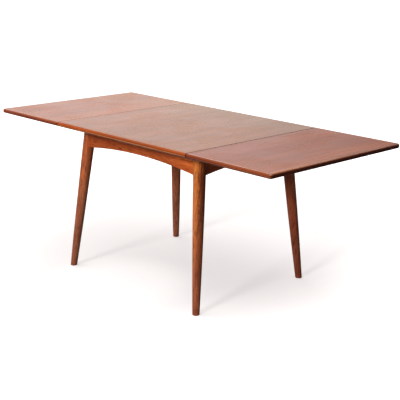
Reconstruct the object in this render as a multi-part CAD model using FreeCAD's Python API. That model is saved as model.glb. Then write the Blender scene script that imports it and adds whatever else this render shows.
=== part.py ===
# Drop-leaf dining table: a nearly square centre top, a hinged leaf at each end held up by folding
# stays, an arched apron frame and four splayed round legs.
# Millimetres. X runs along the table, its front long side faces -Y, and the floor is Z = 0.
import FreeCAD, Part
import math
import os

# Tops: the centre top, the two leaves and their solid edging
table_height = 720.0
top_length = 859.0
leaf_length = 456.0
top_width = 846.0
panel_thickness = 21.0
seam_gap = 1.0
edge_radius = 8.0
seam_edge_radius = 2.5
corner_radius = 12.5
lipping_width = 24.0

# Legs: tapered rounds with a slight swell that splay both ways
foot_inset_x = 2.0
foot_inset_y = 79.0
splay_x = 5.1
splay_y = 5.65
foot_diameter = 31.4
leg_head_diameter = 57.0
leg_swell = 1.6
foot_chamfer = 1.5

# Aprons: boards with an arched lower edge, housed and tenoned into the legs
apron_thickness = 22.0
apron_end_depth = 105.0
long_apron_rise = 26.5
short_apron_rise = 22.0
apron_reveal = 1.1
shoulder_inset = 8.0
tenon_thickness = 8.0
tenon_shoulder = 12.0
tenon_clearance = 2.0
apron_edge_radius = 3.0

# Corner blocks: braces across the inside corners, screwed up into the top
block_depth = 36.0
block_thickness = 25.0
block_clearance = 6.0

# Hinges: surface back-flap hinges, two on each leaf
hinge_spacing = 600.0
flap_length = 64.0
flap_width = 32.0
flap_thickness = 2.0
flap_corner = 3.0
flap_recess_clearance = 0.5
flap_screw_near = 13.5
flap_screw_far = 22.5
flap_screw_spread = 41.0
knuckle_radius = 4.0
knuckle_count = 5
knuckle_clearance = 0.2
knuckle_relief = 0.4
hinge_pin_radius = 2.0
running_clearance = 0.05

# Stays: two flat links in line when the leaf is up, folded together when it hangs
stay_spacing = 330.0
stay_reach = 190.0
stay_depth = 60.0
stay_drop = 10.0
stay_stand_off = 16.0
link_width = 14.0
link_thickness = 3.0
link_gap = 0.3
stay_pin_radius = 2.5
rivet_radius = 5.0
rivet_height = 1.5
rivet_round = 0.8
bracket_thickness = 2.0
bracket_size = 26.0
bracket_screw_spread = 13.0
ear_radius = 8.0

# Screws: countersunk and slotted
screw_radius = 1.7
screw_head_radius = 3.3
screw_head_height = 1.6
screw_length = 15.0
fixing_radius = 2.5
fixing_head_radius = 4.8
fixing_head_height = 2.6
fixing_grip = 12.0
slot_width = 0.8
slot_depth = 0.7

# How near an edge must lie to the place where it is looked for
pick_tolerance = 0.1

# Places that follow from the sizes above
X = FreeCAD.Vector(1, 0, 0)
Y = FreeCAD.Vector(0, 1, 0)
Z = FreeCAD.Vector(0, 0, 1)
origin = FreeCAD.Vector(0, 0, 0)
underside = table_height - panel_thickness
foot_x = top_length / 2 - foot_inset_x
foot_y = top_width / 2 - foot_inset_y
leg_head_x = foot_x - underside * math.tan(math.radians(splay_x))
leg_head_y = foot_y - underside * math.tan(math.radians(splay_y))
apron_face_x = leg_head_x + leg_head_diameter / 2 - apron_reveal
apron_face_y = leg_head_y + leg_head_diameter / 2 - apron_reveal
apron_inner_x = apron_face_x - apron_thickness
apron_inner_y = apron_face_y - apron_thickness
pin_x = (top_length + seam_gap) / 2
pin_z = underside - knuckle_radius
leaf_inner_x = top_length / 2 + seam_gap
leg_radius = leg_head_diameter / 2
corner_reach = leg_radius - apron_reveal - apron_thickness
block_near = 2 * corner_reach + math.sqrt(2) * (leg_radius + block_clearance)
block_far = block_near + math.sqrt(2) * block_thickness


def vector(x, y, z):
    return FreeCAD.Vector(x, y, z)


def block(x0, x1, y0, y1, z0, z1):
    return Part.makeBox(x1 - x0, y1 - y0, z1 - z0, vector(x0, y0, z0))


def prism(points, direction):
    return Part.Face(Part.makePolygon(points + points[:1])).extrude(direction)


def across(shape):
    return shape.mirror(origin, X)


def along(shape):
    return shape.mirror(origin, Y)


def fuse(shapes):
    return shapes[0].fuse(shapes[1:]).removeSplitter()


# A countersunk screw whose head lies flush with the given point and whose shank follows direction.
def screw(point, direction, length, radius, head_radius, head_height):
    cone = Part.makeCone(head_radius, radius, head_height, point, direction)
    shank = Part.makeCylinder(radius, length, point, direction)
    slot = Part.makeBox(2 * head_radius, slot_width, slot_depth, vector(-head_radius, -slot_width / 2, 0))
    slot.Placement = FreeCAD.Placement(point, FreeCAD.Rotation(Z, direction))
    solid = cone.fuse(shank).removeSplitter()
    return solid, solid.cut(slot)


def flap_screw(point, direction):
    return screw(point, direction, screw_length, screw_radius, screw_head_radius, screw_head_height)


# A panel with softly rounded edges, cut square and eased where it meets a seam, then split into its
# veneered core and four mitred lippings. seams lists the ends, out of x0 and x1, that meet one.
def split_panel(x0, x1, seams, holes):
    y0 = -top_width / 2
    y1 = top_width / 2
    w = lipping_width
    spare = 2 * corner_radius
    blank_x0 = x0 - spare if x0 in seams else x0
    blank_x1 = x1 + spare if x1 in seams else x1
    panel = block(blank_x0, blank_x1, y0, y1, underside, table_height)
    upright = [e for e in panel.Edges if e.BoundBox.ZLength > pick_tolerance]
    panel = panel.makeFillet(corner_radius, upright)
    rims = [e for e in panel.Edges if e.BoundBox.ZLength < pick_tolerance]
    panel = panel.makeFillet(edge_radius, rims)
    panel = panel.common(block(x0, x1, y0, y1, underside, table_height))
    arrises = [e for e in panel.Edges for x in seams
               if max(abs(e.BoundBox.XMin - x), abs(e.BoundBox.XMax - x)) < pick_tolerance]
    panel = panel.makeFillet(seam_edge_radius, arrises)
    panel = panel.cut(holes)
    core = panel.common(block(x0 + w, x1 - w, y0 + w, y1 - w, underside, table_height))
    outer = [vector(x0, y0, underside), vector(x1, y0, underside),
             vector(x1, y1, underside), vector(x0, y1, underside)]
    inner = [vector(x0 + w, y0 + w, underside), vector(x1 - w, y0 + w, underside),
             vector(x1 - w, y1 - w, underside), vector(x0 + w, y1 - w, underside)]
    strips = []
    for i in range(4):
        j = (i + 1) % 4
        wedge = prism([outer[i], outer[j], inner[j], inner[i]], Z * panel_thickness)
        strips.append(panel.common(wedge))
    return core, strips


# One leg, at +X +Y: turned about its splayed axis, then cut level at the floor and under the top.
def make_leg():
    foot = vector(foot_x, foot_y, 0)
    axis = vector(leg_head_x, leg_head_y, underside) - foot
    length = axis.Length

    # A point on the turned outline, at a share of the way from the foot to the head
    def outline(share):
        taper = foot_diameter / 2 + (leg_radius - foot_diameter / 2) * share
        return vector(taper + 4 * leg_swell * share * (1 - share), 0, length * share)

    spare = leg_radius / length
    low = outline(-spare)
    high = outline(1 + spare)
    swell = Part.BezierCurve()
    swell.setPoles([low, outline(0.5) * 2 - (low + high) * 0.5, high])
    low_middle = vector(0, 0, low.z)
    high_middle = vector(0, 0, high.z)
    profile = [swell.toShape(), Part.makeLine(high, high_middle),
               Part.makeLine(high_middle, low_middle), Part.makeLine(low_middle, low)]
    turned = Part.Face(Part.Wire(profile)).revolve(origin, Z, 360)
    turned.Placement = FreeCAD.Placement(foot, FreeCAD.Rotation(Z, axis))
    reach = foot_x + foot_y
    leg = turned.common(block(0, reach, 0, reach, 0, underside))
    rim = [e for e in leg.Edges if e.BoundBox.ZMax < foot_chamfer]
    return leg.makeChamfer(foot_chamfer, rim)


# An apron along X at -Y, with its arch and tenons. reach is where a tenon ends.
def make_apron(face, shoulder, rise, reach):
    low = underside - apron_end_depth
    left = vector(-shoulder, -face, low)
    right = vector(shoulder, -face, low)
    crown = vector(0, -face, low + rise)
    top_left = vector(-shoulder, -face, underside)
    top_right = vector(shoulder, -face, underside)
    edges = [Part.Arc(left, crown, right).toShape(), Part.makeLine(right, top_right),
             Part.makeLine(top_right, top_left), Part.makeLine(top_left, left)]
    board = Part.Face(Part.Wire(edges)).extrude(Y * apron_thickness)
    arch = [e for e in board.Edges
            if e.BoundBox.ZMax < low + rise + pick_tolerance and e.BoundBox.XLength > shoulder]
    board = board.makeFillet(apron_edge_radius, arch)
    middle = -face + apron_thickness / 2
    tenon = block(-reach, reach, middle - tenon_thickness / 2, middle + tenon_thickness / 2,
                  low + rise + tenon_shoulder, underside - tenon_shoulder)
    return board.fuse(tenon).removeSplitter()


# A diagonal brace in the +X +Y corner with the screw that holds the top down.
def make_corner_block():
    low = underside - block_depth
    points = [vector(apron_inner_x - block_far, apron_inner_y, low),
              vector(apron_inner_x - block_near, apron_inner_y, low),
              vector(apron_inner_x, apron_inner_y - block_near, low),
              vector(apron_inner_x, apron_inner_y - block_far, low)]
    middle = (points[0] + points[1] + points[2] + points[3]) * 0.25
    full, slotted = screw(middle, Z, block_depth + fixing_grip,
                          fixing_radius, fixing_head_radius, fixing_head_height)
    return prism(points, Z * block_depth).cut(full), full, slotted


# A ring of one hinge's knuckles, those whose number leaves the given remainder.
def knuckles(radius, remainder, spare):
    pitch = flap_length / knuckle_count
    rings = []
    for i in range(knuckle_count):
        if i % 2 == remainder:
            start = hinge_spacing / 2 - flap_length / 2 + i * pitch + spare
            rings.append(Part.makeCylinder(radius, pitch - 2 * spare, vector(pin_x, start, pin_z), Y))
    return rings


# One hinge flap on the right-hand leaf's back hinge. outward is +1 on the leaf and -1 on the top.
def make_flap(outward, remainder, bore):
    y0 = hinge_spacing / 2 - flap_length / 2
    far = pin_x + outward * flap_width
    plate = block(min(pin_x, far), max(pin_x, far), y0, y0 + flap_length,
                  underside - flap_thickness, underside)
    corners = [e for e in plate.Edges
               if e.BoundBox.ZLength > pick_tolerance and abs(e.BoundBox.XMin - far) < pick_tolerance]
    plate = plate.makeFillet(flap_corner, corners)
    plate = plate.cut(knuckles(knuckle_radius + knuckle_relief, 1 - remainder, -knuckle_clearance / 2))
    flap = fuse([plate] + knuckles(knuckle_radius, remainder, knuckle_clearance / 2))
    flap = flap.cut(Part.makeCylinder(bore, flap_length, vector(pin_x, y0, pin_z), Y))
    spots = [(flap_screw_far, -flap_screw_spread / 2), (flap_screw_far, flap_screw_spread / 2),
             (flap_screw_near, 0)]
    full = []
    slotted = []
    for from_pin, from_middle in spots:
        spot = vector(pin_x + outward * from_pin, hinge_spacing / 2 + from_middle,
                      underside - flap_thickness)
        whole, cut = flap_screw(spot, Z)
        full.append(whole)
        slotted.append(cut)
    return flap.cut(full), full, slotted


# The room that the top flap of the right-hand back hinge needs where the frame reaches it
def flap_recess():
    c = flap_recess_clearance
    y0 = hinge_spacing / 2 - flap_length / 2
    return block(pin_x - flap_width - c, pin_x, y0 - c, y0 + flap_length + c,
                 underside - flap_thickness - c, underside)


# Where the right-hand leaf's back stay has its pivots and its elbow, in the XZ plane
def leaf_point(x, z, degrees):
    c = math.cos(math.radians(degrees))
    s = math.sin(math.radians(degrees))
    return vector(pin_x + x * c + z * s, 0, pin_z - x * s + z * c)


def slope(v):
    return math.degrees(math.atan2(v.z, v.x))


leaf_pivot = leaf_point(stay_reach, knuckle_radius - stay_drop, 0)
hung_pivot = leaf_point(stay_reach, knuckle_radius - stay_drop, 90)
apron_pivot = vector(apron_face_x + stay_stand_off, 0, underside - stay_depth)
open_length = (leaf_pivot - apron_pivot).Length
shut_length = (hung_pivot - apron_pivot).Length
upper_length = (open_length + shut_length) / 2
lower_length = (open_length - shut_length) / 2
elbow = apron_pivot + (leaf_pivot - apron_pivot) * (lower_length / open_length)
lower_turn = slope(apron_pivot - hung_pivot) - slope(leaf_pivot - apron_pivot)

# The layers of a stay, counted outwards from the table's middle
stay_y = stay_spacing / 2
lower_y = stay_y + bracket_thickness + link_gap
upper_y = lower_y + link_thickness + link_gap
leaf_ear_y = upper_y + link_thickness + link_gap


def at_y(point, y):
    return vector(point.x, y, point.z)


# A flat link from its pivot to the elbow, with a bored eye and half of the elbow's rivet.
def make_link(pivot, y, rivet_y):
    reach = elbow - pivot
    bar = Part.makeBox(reach.Length, link_thickness, link_width, vector(0, 0, -link_width / 2))
    bar.Placement = FreeCAD.Placement(at_y(pivot, y), FreeCAD.Rotation(X, reach))
    ends = [Part.makeCylinder(link_width / 2, link_thickness, at_y(p, y), Y) for p in (pivot, elbow)]
    head = Part.makeCylinder(rivet_radius, rivet_height, at_y(elbow, rivet_y), Y)
    outer = rivet_y if rivet_y < y else rivet_y + rivet_height
    rim = [e for e in head.Edges if abs(e.BoundBox.YMin - outer) < pick_tolerance
           and e.BoundBox.YLength < pick_tolerance]
    head = head.makeFillet(rivet_round, rim)
    bore = Part.makeCylinder(stay_pin_radius + running_clearance, link_thickness, at_y(pivot, y), Y)
    return fuse([bar] + ends + [head]).cut(bore)


# A stay's pin: a shank from y0 to y1 with its head beyond the end named by head_y.
def make_stay_pin(pivot, y0, y1, head_y):
    shank = Part.makeCylinder(stay_pin_radius, y1 - y0, at_y(pivot, y0), Y)
    head = Part.makeCylinder(rivet_radius, rivet_height, at_y(pivot, head_y), Y)
    return fuse([shank, head])


# The angle bracket on the apron: a plate with two screws and an ear for the lower link.
def make_apron_bracket():
    z0 = apron_pivot.z - bracket_size / 2
    y0 = stay_y + bracket_thickness - bracket_size
    plate = block(apron_face_x, apron_face_x + bracket_thickness, y0, stay_y + bracket_thickness,
                  z0, z0 + bracket_size)
    ear = block(apron_face_x, apron_pivot.x, stay_y, stay_y + bracket_thickness,
                apron_pivot.z - ear_radius, apron_pivot.z + ear_radius)
    eye = Part.makeCylinder(ear_radius, bracket_thickness, at_y(apron_pivot, stay_y), Y)
    bore = Part.makeCylinder(stay_pin_radius, bracket_thickness, at_y(apron_pivot, stay_y), Y)
    full = []
    slotted = []
    for end in (-1, 1):
        spot = vector(apron_face_x + bracket_thickness, stay_y - bracket_size / 2,
                      apron_pivot.z + end * bracket_screw_spread / 2)
        whole, cut = flap_screw(spot, X * -1)
        full.append(whole)
        slotted.append(cut)
    return fuse([plate, ear, eye]).cut(full + [bore]), full, slotted


# The angle bracket under the leaf, turned away from the links.
def make_leaf_bracket():
    x0 = leaf_pivot.x - bracket_size / 2
    y1 = leaf_ear_y + bracket_size
    plate = block(x0, x0 + bracket_size, leaf_ear_y, y1, underside - bracket_thickness, underside)
    ear = block(leaf_pivot.x - ear_radius, leaf_pivot.x + ear_radius, leaf_ear_y,
                leaf_ear_y + bracket_thickness, leaf_pivot.z, underside)
    eye = Part.makeCylinder(ear_radius, bracket_thickness, at_y(leaf_pivot, leaf_ear_y), Y)
    bore = Part.makeCylinder(stay_pin_radius, bracket_thickness, at_y(leaf_pivot, leaf_ear_y), Y)
    full = []
    slotted = []
    for end in (-1, 1):
        spot = vector(leaf_pivot.x + end * bracket_screw_spread / 2,
                      leaf_ear_y + bracket_size / 2 + bracket_thickness, underside - bracket_thickness)
        whole, cut = flap_screw(spot, Z)
        full.append(whole)
        slotted.append(cut)
    return fuse([plate, ear, eye]).cut(full + [bore]), full, slotted


# A list with each shape's twin across the table's long middle line.
def both_sides(shapes):
    return shapes + [along(s) for s in shapes]


def both_ends(shapes):
    return shapes + [across(s) for s in shapes]


nodes = {}

# Hardware of the right-hand leaf's back half, from which the other three quarters are mirrored
top_flap, top_flap_holes, top_flap_screws = make_flap(-1, 0, hinge_pin_radius)
leaf_flap, leaf_flap_holes, leaf_flap_screws = make_flap(1, 1, hinge_pin_radius + running_clearance)
hinge_pin = Part.makeCylinder(hinge_pin_radius, flap_length,
                              vector(pin_x, hinge_spacing / 2 - flap_length / 2, pin_z), Y)
apron_bracket, apron_holes, apron_bracket_screws = make_apron_bracket()
leaf_bracket, leaf_bracket_holes, leaf_bracket_screws = make_leaf_bracket()
lower_link = make_link(apron_pivot, lower_y, lower_y - rivet_height)
upper_link = make_link(leaf_pivot, upper_y, upper_y + link_thickness)
apron_pin = make_stay_pin(apron_pivot, stay_y, lower_y + link_thickness, stay_y - rivet_height)
leaf_pin = make_stay_pin(leaf_pivot, upper_y, leaf_ear_y + bracket_thickness, leaf_ear_y + bracket_thickness)
corner_block, fixing_hole, fixing_screw = make_corner_block()

quarter = {"hinge_top_flap": top_flap, "hinge_leaf_flap": leaf_flap, "hinge_pin": hinge_pin,
           "stay_lower_link": lower_link, "stay_upper_link": upper_link}
for name, shape in quarter.items():
    nodes["right_back_" + name] = shape
    nodes["right_front_" + name] = along(shape)
    nodes["left_back_" + name] = across(shape)
    nodes["left_front_" + name] = across(along(shape))

nodes["stay_apron_brackets"] = Part.makeCompound(both_ends(both_sides([apron_bracket])))
nodes["stay_apron_pins"] = Part.makeCompound(both_ends(both_sides([apron_pin])))
nodes["stay_apron_screws"] = Part.makeCompound(both_ends(both_sides(apron_bracket_screws)))
nodes["hinge_top_screws"] = Part.makeCompound(both_ends(both_sides(top_flap_screws)))
nodes["top_fixing_screws"] = Part.makeCompound(both_ends(both_sides([fixing_screw])))

# Tops: the centre top, then the right-hand leaf and its mirror image
top_holes = both_ends(both_sides(top_flap_holes + [fixing_hole]))
top_ends = [-top_length / 2, top_length / 2]
core, strips = split_panel(top_ends[0], top_ends[1], top_ends, top_holes)
nodes["top_panel"] = core
for name, strip in zip(("front", "right", "back", "left"), strips):
    nodes["top_" + name + "_lipping"] = strip

leaf_holes = both_sides(leaf_flap_holes + leaf_bracket_holes)
core, strips = split_panel(leaf_inner_x, leaf_inner_x + leaf_length, [leaf_inner_x], leaf_holes)
leaf = {"panel": core}
for name, strip in zip(("front", "outer", "back", "inner"), strips):
    leaf[name + "_lipping"] = strip
leaf["stay_brackets"] = Part.makeCompound(both_sides([leaf_bracket]))
leaf["stay_pins"] = Part.makeCompound(both_sides([leaf_pin]))
leaf["screws"] = Part.makeCompound(both_sides(leaf_flap_screws + leaf_bracket_screws))
for name, shape in leaf.items():
    nodes["right_leaf_" + name] = shape
    nodes["left_leaf_" + name] = across(shape)

# Aprons, each tenon stopping short of the one that crosses it
tenon_end_x = apron_face_x - (apron_thickness + tenon_thickness) / 2 - tenon_clearance
tenon_end_y = apron_face_y - (apron_thickness + tenon_thickness) / 2 - tenon_clearance
front_apron = make_apron(apron_face_y, leg_head_x - shoulder_inset, long_apron_rise, tenon_end_x)
side_apron = make_apron(apron_face_x, leg_head_y - shoulder_inset, short_apron_rise, tenon_end_y)
right_apron = side_apron.rotate(origin, Z, 90).cut(both_sides(apron_holes + [flap_recess()]))
nodes["front_apron"] = front_apron
nodes["back_apron"] = along(front_apron)
nodes["right_apron"] = right_apron
nodes["left_apron"] = across(right_apron)

# Legs, housed for the aprons and their tenons, and the blocks behind them
housed_leg = make_leg().cut([nodes["back_apron"], right_apron, flap_recess()])
for name, shape in {"leg": housed_leg, "corner_block": corner_block}.items():
    nodes["back_right_" + name] = shape
    nodes["front_right_" + name] = along(shape)
    nodes["back_left_" + name] = across(shape)
    nodes["front_left_" + name] = across(along(shape))

os.makedirs("parts", exist_ok=True)
for name, shape in nodes.items():
    if not shape.isValid():
        raise ValueError("not a valid shape: " + name)
    shape.exportStep("parts/" + name + ".step")

print("nodes", len(nodes), "overall length", 2 * (leaf_inner_x + leaf_length))
print("hinge pin x %.3f z %.3f" % (pin_x, pin_z))
print("apron pivot x %.3f z %.3f" % (apron_pivot.x, apron_pivot.z))
print("leaf pivot x %.3f z %.3f" % (leaf_pivot.x, leaf_pivot.z))
print("stay links upper %.2f lower %.2f" % (upper_length, lower_length))
print("lower link turns %.4f degrees while the leaf drops 90" % lower_turn)
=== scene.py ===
import math
import bpy
from mathutils import Matrix, Vector

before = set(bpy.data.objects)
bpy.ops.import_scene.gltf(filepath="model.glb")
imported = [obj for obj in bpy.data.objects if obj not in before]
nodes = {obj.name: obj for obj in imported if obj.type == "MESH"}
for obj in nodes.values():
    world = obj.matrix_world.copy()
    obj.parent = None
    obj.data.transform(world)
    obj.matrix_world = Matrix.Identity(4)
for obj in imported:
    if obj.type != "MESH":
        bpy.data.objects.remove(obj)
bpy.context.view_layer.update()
scene = bpy.context.scene
print("frame loaded:", len(nodes), "pieces")


# places on the table, taken from the pieces themselves
def boxOf(name):
    points = [v.co for v in nodes[name].data.vertices]
    return [Vector(pick(p[i] for p in points) for i in range(3)) for pick in (min, max)]


topUnder = boxOf("top_right_lipping")[0].z           # underside of all three tops
topSeam = boxOf("top_right_lipping")[1].x            # the centre top ends here
leafSeam = boxOf("right_leaf_inner_lipping")[0].x    # and the right leaf begins here
frontY = boxOf("top_front_lipping")[0].y
backY = boxOf("top_back_lipping")[1].y
alongX, alongY, alongZ = 0, 1, 2
plain = (1, 1, 1, 1)


# small helpers for node trees
def addNode(tree, kind, **values):
    node = tree.nodes.new(kind)
    for name, value in values.items():
        if hasattr(node, name):
            setattr(node, name, value)
        else:
            node.inputs[name].default_value = value
    return node


def join(tree, source, target):
    tree.links.new(source, target)


def newGroup(name, inputs, outputs):
    tree = bpy.data.node_groups.new(name, "ShaderNodeTree")
    for label, kind, value in inputs:
        socket = tree.interface.new_socket(name=label, in_out="INPUT", socket_type=kind)
        if value is not None:
            socket.default_value = value
    for label, kind in outputs:
        tree.interface.new_socket(name=label, in_out="OUTPUT", socket_type=kind)
    return tree, tree.nodes.new("NodeGroupInput"), tree.nodes.new("NodeGroupOutput")


def useGroup(tree, group, **values):
    node = addNode(tree, "ShaderNodeGroup")
    node.node_tree = group
    for label, value in values.items():
        node.inputs[label].default_value = value
    return node


def mathNode(tree, operation, a, b=None):
    node = addNode(tree, "ShaderNodeMath", operation=operation)
    for i, value in enumerate((a, b)):
        if value is None:
            continue
        if isinstance(value, (int, float)):
            node.inputs[i].default_value = value
        else:
            join(tree, value, node.inputs[i])
    return node.outputs[0]


def product(tree, a, b):
    return mathNode(tree, "MULTIPLY", a, b)


def total(tree, a, b):
    return mathNode(tree, "ADD", a, b)


def scaled(tree, vector, factors):
    node = addNode(tree, "ShaderNodeVectorMath", operation="MULTIPLY")
    join(tree, vector, node.inputs[0])
    node.inputs[1].default_value = factors
    return node.outputs[0]


def split(tree, vector):
    node = addNode(tree, "ShaderNodeSeparateXYZ")
    join(tree, vector, node.inputs[0])
    return node.outputs


def facing(tree, vector, direction):
    node = addNode(tree, "ShaderNodeVectorMath", operation="DOT_PRODUCT")
    join(tree, vector, node.inputs[0])
    node.inputs[1].default_value = direction
    return node.outputs["Value"]


def noise(tree, vector, scale, detail, roughness, distortion=0.0):
    node = addNode(tree, "ShaderNodeTexNoise", Scale=scale, Detail=detail, Roughness=roughness,
                   Distortion=distortion)
    join(tree, vector, node.inputs["Vector"])
    return node.outputs["Fac"]


# soft step from low to high; low may be the larger one
def spread(tree, value, low, high, toLow=0.0, toHigh=1.0, smooth=True):
    node = addNode(tree, "ShaderNodeMapRange", interpolation_type="SMOOTHSTEP" if smooth else "LINEAR")
    join(tree, value, node.inputs["Value"])
    for label, number in (("From Min", low), ("From Max", high), ("To Min", toLow), ("To Max", toHigh)):
        node.inputs[label].default_value = number
    return node.outputs["Result"]


def mixColor(tree, factor, a, b, blend="MIX"):
    node = addNode(tree, "ShaderNodeMix", data_type="RGBA", blend_type=blend)
    for socket, value in ((node.inputs[0], factor), (node.inputs[6], a), (node.inputs[7], b)):
        if isinstance(value, (int, float, tuple)):
            socket.default_value = value
        else:
            join(tree, value, socket)
    return node.outputs[2]


def multiplied(tree, a, b):
    return mixColor(tree, 1.0, a, b, "MULTIPLY")


def newMaterial(name):
    material = bpy.data.materials.new(name)
    material.use_nodes = True
    material.node_tree.nodes.clear()
    return material, material.node_tree


def setSurface(tree, source, kind="ShaderNodeOutputMaterial"):
    output = addNode(tree, kind)
    join(tree, source, output.inputs["Surface"])


def setShader(tree, shader, color, rough, height, strength, depth):
    bump = addNode(tree, "ShaderNodeBump", Strength=strength, Distance=depth)
    join(tree, height, bump.inputs["Height"])
    join(tree, color, shader.inputs["Base Color"])
    join(tree, rough, shader.inputs["Roughness"])
    join(tree, bump.outputs[0], shader.inputs["Normal"])
    setSurface(tree, shader.outputs[0])


# wood figure: grain runs along X of the vector that comes in
teakGrain = {
    "swayStretch": (0.7, 1.6, 1.6), "swayScale": 1.7, "swayDetail": 1.0, "swayBy": (0.0, 0.09, 0.09),
    "broad": {"stretch": (0.9, 15.0, 15.0), "detail": 4.0, "roughness": 0.55, "mask": (0.33, 0.67)},
    "lines": {"stretch": (1.8, 62.0, 62.0), "detail": 3.0, "roughness": 0.6, "mask": (0.34, 0.66)},
    "flecks": {"stretch": (22.0, 130.0, 130.0), "detail": 3.0, "roughness": 0.6, "mask": (0.50, 0.68)},
    "hairs": {"stretch": (9.0, 520.0, 520.0), "detail": 2.0, "roughness": 0.6, "mask": (0.60, 0.36)},
    "pores": {"stretch": (60.0, 1500.0, 1500.0), "detail": 1.0, "roughness": 0.5, "mask": (0.60, 0.70)},
    "hairHeight": 0.3}


def makeTeakGroup(s):
    tree, inp, out = newGroup("teakFigure", [
        ("Vector", "NodeSocketVector", None),
        ("Pale", "NodeSocketColor", (0.5, 0.3, 0.15, 1)),
        ("Dark", "NodeSocketColor", (0.25, 0.1, 0.04, 1)),
        ("Pore", "NodeSocketColor", (0.08, 0.03, 0.015, 1)),
        ("Lines", "NodeSocketFloat", 0.4),
        ("Flecks", "NodeSocketFloat", 0.3),
        ("Streaks", "NodeSocketFloat", 0.5),
        ("Pores", "NodeSocketFloat", 0.5)],
        [("Color", "NodeSocketColor"), ("Fine", "NodeSocketFloat"), ("Fleck", "NodeSocketFloat"),
         ("Height", "NodeSocketFloat")])
    sway = addNode(tree, "ShaderNodeTexNoise", Scale=s["swayScale"], Detail=s["swayDetail"])
    join(tree, scaled(tree, inp.outputs["Vector"], s["swayStretch"]), sway.inputs["Vector"])
    swayed = addNode(tree, "ShaderNodeVectorMath", operation="MULTIPLY_ADD")
    join(tree, sway.outputs["Color"], swayed.inputs[0])
    swayed.inputs[1].default_value = s["swayBy"]
    join(tree, inp.outputs["Vector"], swayed.inputs[2])

    def layer(part):
        stretched = scaled(tree, swayed.outputs[0], part["stretch"])
        value = noise(tree, stretched, 1.0, part["detail"], part["roughness"])
        return value, spread(tree, value, *part["mask"])

    broadMask = layer(s["broad"])[1]
    lineMask = layer(s["lines"])[1]
    flecks, fleckMask = layer(s["flecks"])
    hairs, hairMask = layer(s["hairs"])
    poreMask = layer(s["pores"])[1]
    lineShare = inp.outputs["Lines"]
    broadShare = mathNode(tree, "SUBTRACT", 1.0, lineShare)
    figure = total(tree, product(tree, lineMask, lineShare), product(tree, broadMask, broadShare))
    color = mixColor(tree, figure, inp.outputs["Dark"], inp.outputs["Pale"])
    color = mixColor(tree, product(tree, fleckMask, inp.outputs["Flecks"]), color, inp.outputs["Pore"])
    color = mixColor(tree, product(tree, hairMask, inp.outputs["Streaks"]), color, inp.outputs["Dark"])
    pores = product(tree, poreMask, inp.outputs["Pores"])
    color = mixColor(tree, pores, color, inp.outputs["Pore"])
    height = mathNode(tree, "SUBTRACT", product(tree, hairs, s["hairHeight"]), pores)
    for label, source in (("Color", color), ("Fine", hairs), ("Fleck", flecks), ("Height", height)):
        join(tree, source, out.inputs[label])
    return tree


# age: cloudy fading, darker handling patches and small dark spots
oldFinish = {
    "cloud": {"scale": 5.0, "detail": 5.0, "roughness": 0.6, "distortion": 0.4}, "fadeMask": (0.3, 0.7),
    "smear": {"scale": 9.0, "detail": 4.0, "roughness": 0.65, "distortion": 0.8}, "stainMask": (0.52, 0.78),
    "smearStretch": (1.0, 2.4, 2.4), "spotScale": 17.0, "spotEdge": (0.13, 0.03), "spotChance": (0.86, 0.9)}


def makeAgeGroup(s):
    tree, inp, out = newGroup("oldFinish", [
        ("Vector", "NodeSocketVector", None),
        ("Color", "NodeSocketColor", (0.5, 0.3, 0.15, 1)),
        ("Faded", "NodeSocketColor", (0.5, 0.4, 0.3, 1)),
        ("Fade", "NodeSocketFloat", 0.3),
        ("Stain", "NodeSocketColor", (0.12, 0.04, 0.02, 1)),
        ("Stains", "NodeSocketFloat", 0.3),
        ("Spots", "NodeSocketFloat", 0.3)],
        [("Color", "NodeSocketColor"), ("Rubbed", "NodeSocketFloat")])
    vector = inp.outputs["Vector"]
    cloud = noise(tree, vector, **s["cloud"])
    faded = product(tree, spread(tree, cloud, *s["fadeMask"]), inp.outputs["Fade"])
    color = mixColor(tree, faded, inp.outputs["Color"], inp.outputs["Faded"])
    smear = noise(tree, scaled(tree, vector, s["smearStretch"]), **s["smear"])
    stained = product(tree, spread(tree, smear, *s["stainMask"]), inp.outputs["Stains"])
    color = mixColor(tree, stained, color, inp.outputs["Stain"])
    cells = addNode(tree, "ShaderNodeTexVoronoi", feature="F1", Scale=s["spotScale"], Randomness=1.0)
    join(tree, vector, cells.inputs["Vector"])
    chance = addNode(tree, "ShaderNodeSeparateColor")
    join(tree, cells.outputs["Color"], chance.inputs[0])
    spot = product(tree, spread(tree, cells.outputs["Distance"], *s["spotEdge"]),
                   spread(tree, chance.outputs[0], *s["spotChance"]))  # only a few cells have one
    color = mixColor(tree, product(tree, spot, inp.outputs["Spots"]), color, inp.outputs["Stain"])
    join(tree, color, out.inputs["Color"])
    join(tree, cloud, out.inputs["Rubbed"])
    return tree


teakGroup = makeTeakGroup(teakGrain)
ageGroup = makeAgeGroup(oldFinish)
print("shared groups built")


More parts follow.
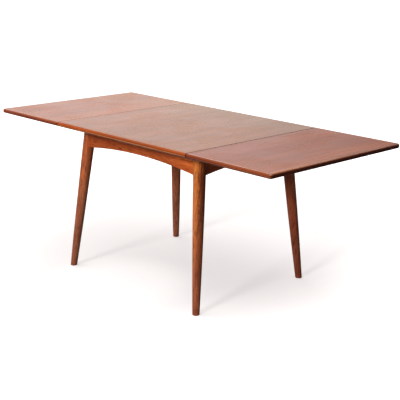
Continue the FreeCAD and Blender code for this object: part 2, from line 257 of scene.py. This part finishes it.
# panel edge: the sides have a colour of their own and are darkened below the arris line as a painted shade,
# dirt and painted shade lie by the seams, and the roundings, corners and arris are made pale, partly wear
# and partly painted highlight
def edgeFinish(tree, coords, figure, age, color, s):
    turnX, turnY, rise = split(tree, coords.outputs["Normal"])
    place = split(tree, coords.outputs["Object"])
    along, height = place[alongX], place[alongZ]
    endwise = mathNode(tree, "ABSOLUTE", turnX)
    corner = product(tree, endwise, mathNode(tree, "ABSOLUTE", turnY))
    tint = mixColor(tree, spread(tree, endwise, *s["endTurn"]), s["side"], s["end"])
    side = multiplied(tree, figure.outputs["Color"], tint)
    lineLow, lineFoot, lineHead, lineHigh = (topUnder + z for z in s["line"])
    # below the arris line the side is darkened: painted shade of the edge's underside
    aboveLine = spread(tree, height, lineLow, lineFoot)
    side = multiplied(tree, side, mixColor(tree, aboveLine, s["under"], plain))
    for farFromSeam, atSeam in s["grime"]:  # dirt and painted shade where the edge meets a seam
        side = mixColor(tree, spread(tree, along, farFromSeam, atSeam), side, s["dirt"])
    color = mixColor(tree, spread(tree, mathNode(tree, "ABSOLUTE", rise), *s["rounding"]), side, color)
    for farFromSeam, atSeam in s["crease"]:  # and painted shade in the seam itself
        color = mixColor(tree, spread(tree, along, farFromSeam, atSeam, 0.0, s["creaseShade"]), color, s["dirt"])
    # the upper rounding, the corner tips and the arris line are made pale: partly wear, partly painted
    # highlight
    paleLow, paleFoot, paleHead, paleHigh = s["rubAndHighlightRise"]
    upper = product(tree, spread(tree, rise, paleLow, paleFoot),
                    spread(tree, rise, paleHead, paleHigh, s["rub"], 0.0))
    tip = product(tree, spread(tree, corner, *s["tipTurn"]),
                  spread(tree, rise, *s["tipRise"], 0.0, s["tipRubAndHighlight"]))
    lower = product(tree, aboveLine, spread(tree, height, lineHead, lineHigh, s["chafe"], 0.0))
    patches = spread(tree, age.outputs["Rubbed"], *s["patches"], s["leastWearAndHighlight"], 1.0)
    worn = product(tree, total(tree, total(tree, upper, tip), lower), patches)
    return color, worn


# painted shade: one side of a leg is darkened by the way it faces, with a wavering border
def streakFinish(tree, coords, figure, age, color, s):
    waver = total(tree, spread(tree, age.outputs["Rubbed"], *s["evenly"], -s["waver"], s["waver"]),
                  spread(tree, figure.outputs["Fleck"], *s["evenly"], -s["ragged"], s["ragged"]))
    turned = total(tree, facing(tree, coords.outputs["Normal"], s["towards"]), waver)
    height = split(tree, coords.outputs["Object"])[alongZ]
    band = product(tree, spread(tree, turned, *s["turn"]), spread(tree, height, *s["height"]))
    return mixColor(tree, band, color, multiplied(tree, color, s["tint"]))


satinFinish = {"ior": 1.5, "evenly": (0.3, 0.7), "hairRough": 0.04, "smoother": 0.05, "rougher": 0.06,
               "poreDepth": 0.0004}


# one wood material: figure, then age, then edges with dirt, painted shade and pale wear with painted
# highlight, then a painted side shade and changes of tone, then the satin finish
def woodMaterial(name, s):
    material, tree = newMaterial(name)
    coords = addNode(tree, "ShaderNodeTexCoord")
    turn = addNode(tree, "ShaderNodeMapping", Location=s["shift"], Rotation=s["turn"])
    join(tree, coords.outputs["Object"], turn.inputs["Vector"])
    figure = useGroup(tree, teakGroup, Pale=s["pale"], Dark=s["dark"], Pore=s["pore"],
                      Lines=s["lines"], Flecks=s["flecks"], Streaks=s["streaks"], Pores=s["pores"])
    join(tree, turn.outputs[0], figure.inputs["Vector"])
    age = useGroup(tree, ageGroup, Faded=s["faded"], Fade=s["fade"], Stain=s["stain"],
                   Stains=s["stains"], Spots=s["spots"])
    join(tree, turn.outputs[0], age.inputs["Vector"])
    join(tree, figure.outputs["Color"], age.inputs["Color"])
    color = age.outputs["Color"]
    if "side" in s:
        color, worn = edgeFinish(tree, coords, figure, age, color, s)
    if "streak" in s:
        color = streakFinish(tree, coords, figure, age, color, s["streak"])
    for axis, low, high, first, last in s.get("tones", []):  # the colour changes along the piece; on the legs it is painted light and shade
        place = split(tree, coords.outputs["Object"])[axis]
        color = multiplied(tree, color, mixColor(tree, spread(tree, place, low, high), first, last))
    # pale edges: wear and painted highlight
    if "side" in s:
        color = mixColor(tree, worn, color, s["worn"])
    satin = satinFinish
    hairRough = spread(tree, figure.outputs["Fine"], *satin["evenly"],
                       -satin["hairRough"], satin["hairRough"])
    patchRough = spread(tree, age.outputs["Rubbed"], *satin["evenly"],
                        s["rough"] - satin["smoother"], s["rough"] + satin["rougher"])
    rough = total(tree, hairRough, patchRough)
    shader = addNode(tree, "ShaderNodeBsdfPrincipled", IOR=satin["ior"])
    shader.inputs["Specular IOR Level"].default_value = s["gloss"]
    setShader(tree, shader, color, rough, figure.outputs["Height"], s["bump"], satin["poreDepth"])
    return material


def tinted(look, red, green, blue):
    factors = (red, green, blue, 1)
    return dict(look, **{part: tuple(a * b for a, b in zip(look[part], factors))
                         for part in ("pale", "dark", "pore", "faded", "stain")})


def camel(name):
    first, *others = name.split("_")
    return first + "".join(word.title() for word in others)


def finish(names, material):
    for name in names:
        data = nodes[name].data
        data.materials.clear()
        data.materials.append(material)


grainAlong = (0, 0, 0)                   # grain along X
grainAcross = (0, 0, math.radians(90))   # along Y
grainUpright = (0, math.radians(90), 0)  # along Z

# tops; a tone is an axis, where it begins and ends, and the tints there
centreTop = {
    "turn": grainAcross, "shift": (0.0, 0.0, 0.0),
    "pale": (0.32, 0.103, 0.034, 1), "dark": (0.20, 0.054, 0.016, 1), "pore": (0.07, 0.020, 0.008, 1),
    "lines": 0.38, "flecks": 0.06, "streaks": 0.30, "pores": 0.30,
    "faded": (0.34, 0.135, 0.055, 1), "fade": 0.5,
    "stain": (0.11, 0.032, 0.014, 1), "stains": 0.30, "spots": 0.4,
    "rough": 0.24, "gloss": 0.5, "bump": 0.012,
    "tones": [(alongX, -topSeam, 0.10, (1.15, 1.08, 0.98, 1), plain),
              (alongY, 0.0, backY, plain, (0.92, 1.30, 2.00, 1))]}
leftLeafTop = dict(
    centreTop, shift=(0.7, 1.3, 0.0), pale=(0.40, 0.094, 0.022, 1), dark=(0.26, 0.050, 0.011, 1),
    faded=(0.42, 0.115, 0.034, 1), fade=0.35, stain=(0.14, 0.028, 0.008, 1),
    tones=[(alongY, -0.10, backY, (1.0, 1.08, 1.15, 1), (1.0, 1.42, 1.90, 1))])
rightLeafTop = dict(
    centreTop, shift=(2.1, 0.4, 0.0), pale=(0.34, 0.078, 0.020, 1), dark=(0.21, 0.040, 0.010, 1),
    faded=(0.36, 0.098, 0.032, 1), fade=0.25, stain=(0.12, 0.024, 0.007, 1),
    tones=[(alongX, leafSeam, 0.80, (0.90, 0.74, 0.54, 1), plain),
           (alongY, frontY, backY, (0.97, 0.92, 0.70, 1), (0.98, 1.16, 1.80, 1))])

# edges: heights are above the underside of the top, and rises are the upward part of the surface's normal
# dark reaches beside the seams: dirt and painted shade; the creases are painted shade inside the right-hand
# seam
seamDarkReach = {"reach": 0.0070, "creaseReach": 0.0033, "creaseEnd": 0.0006}
topSeamDark = (topSeam - seamDarkReach["reach"], topSeam)
leafSeamDark = (leafSeam + seamDarkReach["reach"], leafSeam)
topCrease = (topSeam - seamDarkReach["creaseReach"], topSeam - seamDarkReach["creaseEnd"])
leafCrease = (leafSeam + seamDarkReach["creaseReach"], leafSeam + seamDarkReach["creaseEnd"])
# colour of the seam faces: dirt and painted shade in the gap
seamDark = (0.42, 0.35, 0.34, 1)
# pale colour of the leaves' edges: dust and painted highlight
dustAndHighlight = (0.60, 0.46, 0.38, 1)


def mirrored(span):
    return tuple(-x for x in span)


# shared edge settings: the side is darkened below the arris line as a painted shade, the roundings, corners
# and arris are made pale by wear and painted highlight, and seams get dirt and painted shade
edgeWearAndPaintedLight = {
    "gloss": 0.45, "rough": 0.22, "rounding": (0.80, 0.985),
    "end": (0.20, 0.15, 0.17, 1), "endTurn": (0.25, 0.95), "under": (0.55, 0.50, 0.50, 1),
    "line": (0.0045, 0.0062, 0.0074, 0.0094), "rubAndHighlightRise": (0.84, 0.93, 0.965, 0.995),
    "tipRise": (0.10, 0.60), "tipTurn": (0.08, 0.30), "tipRubAndHighlight": 0.6,
    "worn": (0.60, 0.25, 0.11, 1), "patches": (0.30, 0.60), "leastWearAndHighlight": 0.35,
    "dirt": (0.045, 0.016, 0.009, 1), "creaseShade": 0.75, "grime": [], "crease": []}
centreEdge = dict(edgeWearAndPaintedLight, side=(1.10, 0.63, 0.16, 1), end=seamDark, rub=0.55, chafe=0.75,
                  lines=0.7, gloss=0.3, grime=[topSeamDark, mirrored(topSeamDark)], crease=[topCrease])
leafEdge = dict(edgeWearAndPaintedLight, worn=dustAndHighlight, rounding=(0.60, 0.90))
leftEdge = dict(leafEdge, side=(0.60, 0.44, 0.42, 1), end=(0.18, 0.13, 0.15, 1), rub=0.7, chafe=0.05,
                grime=[mirrored(leafSeamDark)])
rightEdge = dict(leafEdge, side=(0.88, 0.86, 0.88, 1), rub=0.75, chafe=0.1,
                 grime=[leafSeamDark], crease=[leafCrease])
outerEdge = {"rounding": (0.35, 0.80), "rub": 0.5, "chafe": 0.0,
             "tint": (0.90, 1.12, 1.50)}  # greyer strip at the far ends: a painted reflection
seamEdge = dict(edgeWearAndPaintedLight, side=seamDark, end=seamDark, rub=0.0, chafe=0.0)
innerEdge = dict(edgeWearAndPaintedLight, side=(0.90, 0.80, 0.80, 1), end=(0.80, 0.70, 0.70, 1), rub=0.3, chafe=0.0,
                 tint=(1.08, 1.20, 1.40))  # paler, greyer strip beside the seam: a painted sheen
frontCornerHighlight = (alongY, frontY, 0.05, (1.60, 1.85, 2.50, 1), plain)  # painted highlight on the right leaf's end, at the front

panels = [
    {"piece": "top", "look": centreTop, "long": centreEdge,
     "short": {"left": seamEdge, "right": dict(seamEdge, crease=[topCrease])}},
    {"piece": "left_leaf", "look": leftLeafTop, "long": leftEdge,
     "short": {"outer": dict(leftEdge, **outerEdge), "inner": innerEdge}},
    {"piece": "right_leaf", "look": rightLeafTop, "long": rightEdge,
     "short": {"outer": dict(rightEdge, tones=rightLeafTop["tones"] + [frontCornerHighlight], **outerEdge),
               "inner": dict(innerEdge, crease=[leafCrease])}}]
longShift, shortShift = (0.3, 0.9, 0.2), (1.1, 0.2, 0.4)  # so that no two strips show the same figure
for panel in panels:
    piece, look = panel["piece"], panel["look"]
    finish([piece + "_panel"], woodMaterial(camel(piece) + "Veneer", look))
    longLook = dict(look, turn=grainAlong, shift=longShift)
    finish([piece + "_front_lipping", piece + "_back_lipping"],
           woodMaterial(camel(piece) + "LongEdge", dict(longLook, **panel["long"])))
    for place, edge in panel["short"].items():
        strip = piece + "_" + place + "_lipping"
        shortLook = dict(tinted(look, *edge.get("tint", (1, 1, 1))), shift=shortShift)
        finish([strip], woodMaterial(camel(strip), dict(shortLook, **edge)))
print("top materials set")

# frame: redder wood with more flecks
frameWood = {
    "turn": grainAlong, "shift": (0.0, 0.0, 0.0),
    "pale": (0.54, 0.143, 0.037, 1), "dark": (0.24, 0.046, 0.011, 1), "pore": (0.08, 0.017, 0.005, 1),
    "lines": 0.62, "flecks": 0.95, "streaks": 0.5, "pores": 0.6,
    "faded": (0.43, 0.14, 0.046, 1), "fade": 0.3,
    "stain": (0.13, 0.024, 0.010, 1), "stains": 0.5, "spots": 0.5,
    "rough": 0.42, "gloss": 0.2, "bump": 0.3}
apronWood = tinted(frameWood, 1.12, 0.84, 0.62)
longApron = dict(apronWood, tones=[(alongX, 0.05, 0.36, plain, (1.45, 1.55, 1.45, 1))])
endApron = dict(tinted(apronWood, 0.95, 1.02, 1.10), turn=grainAcross)
finish(["front_apron", "back_apron"], woodMaterial("longApronTeak", longApron))
finish(["left_apron", "right_apron"], woodMaterial("endApronTeak", endApron))

legWood = dict(frameWood, turn=grainUpright, streaks=0.7)
legPlace = {"shift": (0.6, 0.37, 0.11), "foot": 0.10, "head": topUnder}
# painted shade on one side of the front legs, set by the way that side faces
legSideShade = {"evenly": (0.3, 0.7), "waver": 0.15, "ragged": 0.13}
# tones along each leg, painted light and shade: three legs are lighter at the head, light and sheen painted
# in under the top; the back right leg is darker at the head, a painted shadow of the leaf; all are darker
# towards the foot; their bluer tints are painted sheen
legPaintedLight = {
    "front_left_leg": {
        "foot": (0.84, 1.08, 2.05, 1), "head": (1.55, 1.55, 1.70, 1),
        "streak": dict(legSideShade, towards=(-0.45, -0.80, 0.0), turn=(0.40, 0.80), height=(0.05, 0.45),
                       tint=(0.74, 0.70, 0.70, 1))},
    "front_right_leg": {
        "foot": (0.80, 0.82, 1.25, 1), "head": (1.80, 2.00, 1.45, 1),
        "streak": dict(legSideShade, towards=(0.85, 0.10, 0.0), turn=(0.30, 0.75), height=(0.05, 0.55),
                       tint=(0.38, 0.31, 0.48, 1))},
    "back_left_leg": {"foot": (0.82, 0.93, 1.55, 1), "head": (1.75, 2.15, 3.40, 1)},
    "back_right_leg": {"foot": (0.56, 0.52, 0.95, 1), "head": (1.00, 0.86, 0.95, 1)}}
for i, (name, tone) in enumerate(legPaintedLight.items()):
    legLook = dict(legWood, shift=tuple(i * step for step in legPlace["shift"]),
                   tones=[(alongZ, legPlace["foot"], legPlace["head"], tone["foot"], tone["head"])])
    if "streak" in tone:
        legLook["streak"] = tone["streak"]
    finish([name], woodMaterial(camel(name) + "Teak", legLook))

blockWood = dict(frameWood, pale=(0.52, 0.35, 0.20, 1), dark=(0.38, 0.23, 0.12, 1), rough=0.7, stains=0.15)
finish([n for n in nodes if n.endswith("corner_block")], woodMaterial("blockBeech", blockWood))
print("frame materials set")

# metal with fine brushing and dull patches
metalWear = {"patch": {"scale": 60.0, "detail": 5.0, "roughness": 0.6}, "dulled": (0.35, 0.70),
             "tarnished": (0.35, 0.65), "tarnish": 0.45, "smoother": 0.06, "rougher": 0.10,
             "brush": {"scale": 1.0, "detail": 2.0, "roughness": 0.5}, "evenly": (0.3, 0.7),
             "brushRough": 0.05, "brushBump": 0.15, "brushDepth": 0.0002}


def metalMaterial(name, s):
    wear = metalWear
    material, tree = newMaterial(name)
    coords = addNode(tree, "ShaderNodeTexCoord")
    patch = noise(tree, coords.outputs["Object"], **wear["patch"])
    brush = noise(tree, scaled(tree, coords.outputs["Object"], s["brush"]), **wear["brush"])
    color = mixColor(tree, spread(tree, patch, *wear["dulled"]), s["bright"], s["dull"])
    patchRough = spread(tree, patch, *wear["evenly"],
                        s["rough"] - wear["smoother"], s["rough"] + wear["rougher"])
    brushRough = spread(tree, brush, *wear["evenly"], -wear["brushRough"], wear["brushRough"])
    rough = total(tree, patchRough, brushRough)
    shader = addNode(tree, "ShaderNodeBsdfPrincipled")
    metal = spread(tree, patch, *wear["tarnished"], s["metal"], s["metal"] - wear["tarnish"])
    join(tree, metal, shader.inputs["Metallic"])
    setShader(tree, shader, color, rough, brush, wear["brushBump"], wear["brushDepth"])
    return material


hingeBrass = {"bright": (0.66, 0.46, 0.20, 1), "dull": (0.38, 0.25, 0.11, 1), "rough": 0.38, "metal": 0.85,
              "brush": (300, 2500, 300)}
staySteel = {"bright": (0.56, 0.55, 0.53, 1), "dull": (0.36, 0.34, 0.31, 1), "rough": 0.36, "metal": 0.80,
             "brush": (300, 300, 2500)}
screwSteel = {"bright": (0.50, 0.46, 0.40, 1), "dull": (0.25, 0.22, 0.19, 1), "rough": 0.42, "metal": 0.85,
              "brush": (900, 900, 900)}
screwNodes = [n for n in nodes if n.endswith("_screws")]
finish(screwNodes, metalMaterial("slottedScrews", screwSteel))
finish([n for n in nodes if "hinge" in n and n not in screwNodes], metalMaterial("dullBrass", hingeBrass))
finish([n for n in nodes if "stay" in n and n not in screwNodes], metalMaterial("platedSteel", staySteel))
print("metal materials set")

# floor: near white with soft shadows by the legs; to the camera it glows, less and warmer near the table as
# a painted shade, with a painted patch of light in front, and plain white further out;
# gloss mirrors a pale sheet at the back left, and all other rays meet a dark grey
floorLook = {"size": 120.0, "seen": (0.42, 0.408, 0.402, 1), "bounce": (0.15, 0.15, 0.15, 1),
             "lift": 0.49, "white": 1.0, "tint": (1.0, 0.950, 0.940, 1), "fall": (0.45, 1.15),
             "centre": (-0.275, 0.30), "reach": (1.28, 1.58),
             "patch": 0.13, "patchCentre": (-0.09, -0.32), "patchReach": (0.38, 0.36),
             "sheet": 0.7, "aisle": 0.03, "sheetCentre": (-0.90, 0.35), "sheetReach": (1.1, 0.8)}


def makeFloor(s):
    half = s["size"] / 2
    mesh = bpy.data.meshes.new("studioFloor")
    corners = [(-half, -half, 0), (half, -half, 0), (half, half, 0), (-half, half, 0)]
    mesh.from_pydata(corners, [], [(0, 1, 2, 3)])
    floor = bpy.data.objects.new("studioFloor", mesh)
    scene.collection.objects.link(floor)
    material, tree = newMaterial("paleFloor")
    coords = addNode(tree, "ShaderNodeTexCoord")
    path = addNode(tree, "ShaderNodeLightPath")

    def glow(centre, reach, inside, outside, color):
        place = addNode(tree, "ShaderNodeMapping", vector_type="TEXTURE",
                        Location=centre + (0,), Scale=reach + (1,))
        join(tree, coords.outputs["Object"], place.inputs["Vector"])
        away = addNode(tree, "ShaderNodeVectorMath", operation="LENGTH")
        join(tree, place.outputs[0], away.inputs[0])
        strength = spread(tree, away.outputs["Value"], *s["fall"], inside, outside)
        light = addNode(tree, "ShaderNodeEmission", Color=color)
        join(tree, strength, light.inputs["Strength"])
        return light.outputs[0]

    def choose(test, no, yes):
        pick = addNode(tree, "ShaderNodeMixShader")
        for socket, source in zip(pick.inputs, (test, no, yes)):
            join(tree, source, socket)
        return pick.outputs[0]

    def added(first, second):
        both = addNode(tree, "ShaderNodeAddShader")
        join(tree, first, both.inputs[0])
        join(tree, second, both.inputs[1])
        return both.outputs[0]

    lit = addNode(tree, "ShaderNodeBsdfDiffuse", Color=s["seen"])
    # the glow is weaker near the table: a painted shade around it, tinted warm
    seen = added(lit.outputs[0], glow(s["centre"], s["reach"], s["lift"], s["white"], s["tint"]))
    # a paler patch in front of the table: painted light
    seen = added(seen, glow(s["patchCentre"], s["patchReach"], s["patch"], 0.0, s["tint"]))
    sheet = glow(s["sheetCentre"], s["sheetReach"], s["sheet"], s["aisle"], plain)
    bounce = addNode(tree, "ShaderNodeBsdfDiffuse", Color=s["bounce"])
    surface = choose(path.outputs["Is Glossy Ray"], bounce.outputs[0], sheet)
    surface = choose(path.outputs["Is Transmission Ray"], surface, seen)
    side = addNode(tree, "ShaderNodeNewGeometry")
    through = addNode(tree, "ShaderNodeBsdfTransparent")
    seen = choose(side.outputs["Backfacing"], seen, through.outputs[0])  # open from below
    setSurface(tree, choose(path.outputs["Is Camera Ray"], surface, seen))
    mesh.materials.append(material)


makeFloor(floorLook)

# studio: white to the camera, light from overhead and the left with a little from behind on the right,
# and a white wall on the left that only gloss mirrors
studioLook = {"dark": 0.02,
              "lobes": [{"towards": (-0.14, -0.22, 0.95), "bright": 1.84, "turn": (0.50, 0.97)},
                        {"towards": (-0.95, -0.20, 0.28), "bright": 2.00, "turn": (0.45, 0.95)},
                        {"towards": (0.80, 0.50, 0.20), "bright": 0.38, "turn": (0.20, 0.95)}],
              "wall": (-1.0, 0.0, 0.0), "wallTurn": (0.44, 0.72), "wallTop": (0.60, 0.38),
              "wallDark": 0.05, "wallBright": 0.99, "white": 1.0}


def makeWorld(s):
    world = bpy.data.worlds.new("studioWorld")
    scene.world = world
    world.use_nodes = True
    tree = world.node_tree
    tree.nodes.clear()
    coords = addNode(tree, "ShaderNodeTexCoord")
    path = addNode(tree, "ShaderNodeLightPath")

    def towards(direction):
        return facing(tree, coords.outputs["Generated"], Vector(direction).normalized())

    def choose(test, no, yes):
        pick = addNode(tree, "ShaderNodeMix", data_type="FLOAT")
        join(tree, test, pick.inputs[0])
        join(tree, no, pick.inputs[2])
        if isinstance(yes, float):
            pick.inputs[3].default_value = yes
        else:
            join(tree, yes, pick.inputs[3])
        return pick.outputs[0]

    light = s["dark"]
    for lobe in s["lobes"]:
        part = spread(tree, towards(lobe["towards"]), *lobe["turn"], 0.0, lobe["bright"])
        light = total(tree, part, light)
    wall = product(tree, spread(tree, towards(s["wall"]), *s["wallTurn"]),
                   spread(tree, towards((0, 0, 1)), *s["wallTop"]))
    wall = spread(tree, wall, 0.0, 1.0, s["wallDark"], s["wallBright"], smooth=False)
    strength = choose(path.outputs["Is Glossy Ray"], light, wall)
    strength = choose(path.outputs["Is Transmission Ray"], strength, s["white"])
    strength = choose(path.outputs["Is Camera Ray"], strength, s["white"])
    background = addNode(tree, "ShaderNodeBackground", Color=plain)
    join(tree, strength, background.inputs["Strength"])
    setSurface(tree, background.outputs[0], "ShaderNodeOutputWorld")


makeWorld(studioLook)

# lamp: a low soft sun from the front, as from a wide window
sunLook = {"from": (0.14, -0.93, 0.38), "power": 2.25, "softness": 12.0}


def aimedAt(place, target):
    return (Vector(target) - Vector(place)).to_track_quat("-Z", "Y")


def makeSun(s):
    lamp = bpy.data.lights.new("frontSun", "SUN")
    lamp.energy = s["power"]
    lamp.angle = math.radians(s["softness"])
    holder = bpy.data.objects.new("frontSun", lamp)
    holder.rotation_mode = "QUATERNION"
    holder.rotation_quaternion = aimedAt(s["from"], (0, 0, 0))
    holder.visible_glossy = False  # polished tops seen against the light keep their colour
    scene.collection.objects.link(holder)


makeSun(sunLook)
print("floor, world and lamp set")

# camera at the photograph's place
photoView = {"at": (3.0806, -2.9832, 1.5576), "aim": (0.0364, 0.0583, 0.3538), "roll": 1.102, "lens": 84.47,
             "sensor": 36.0, "farthest": 200.0}


def makeCamera(s):
    data = bpy.data.cameras.new("photoCamera")
    data.sensor_fit = "HORIZONTAL"
    data.sensor_width = s["sensor"]
    data.lens = s["lens"]
    data.clip_end = s["farthest"]
    camera = bpy.data.objects.new("photoCamera", data)
    turn = aimedAt(s["at"], s["aim"]).to_matrix().to_4x4()
    roll = Matrix.Rotation(math.radians(s["roll"]), 4, "Z")
    camera.matrix_world = Matrix.Translation(s["at"]) @ turn @ roll
    scene.collection.objects.link(camera)
    scene.camera = camera


makeCamera(photoView)
scene.view_settings.view_transform = "Standard"
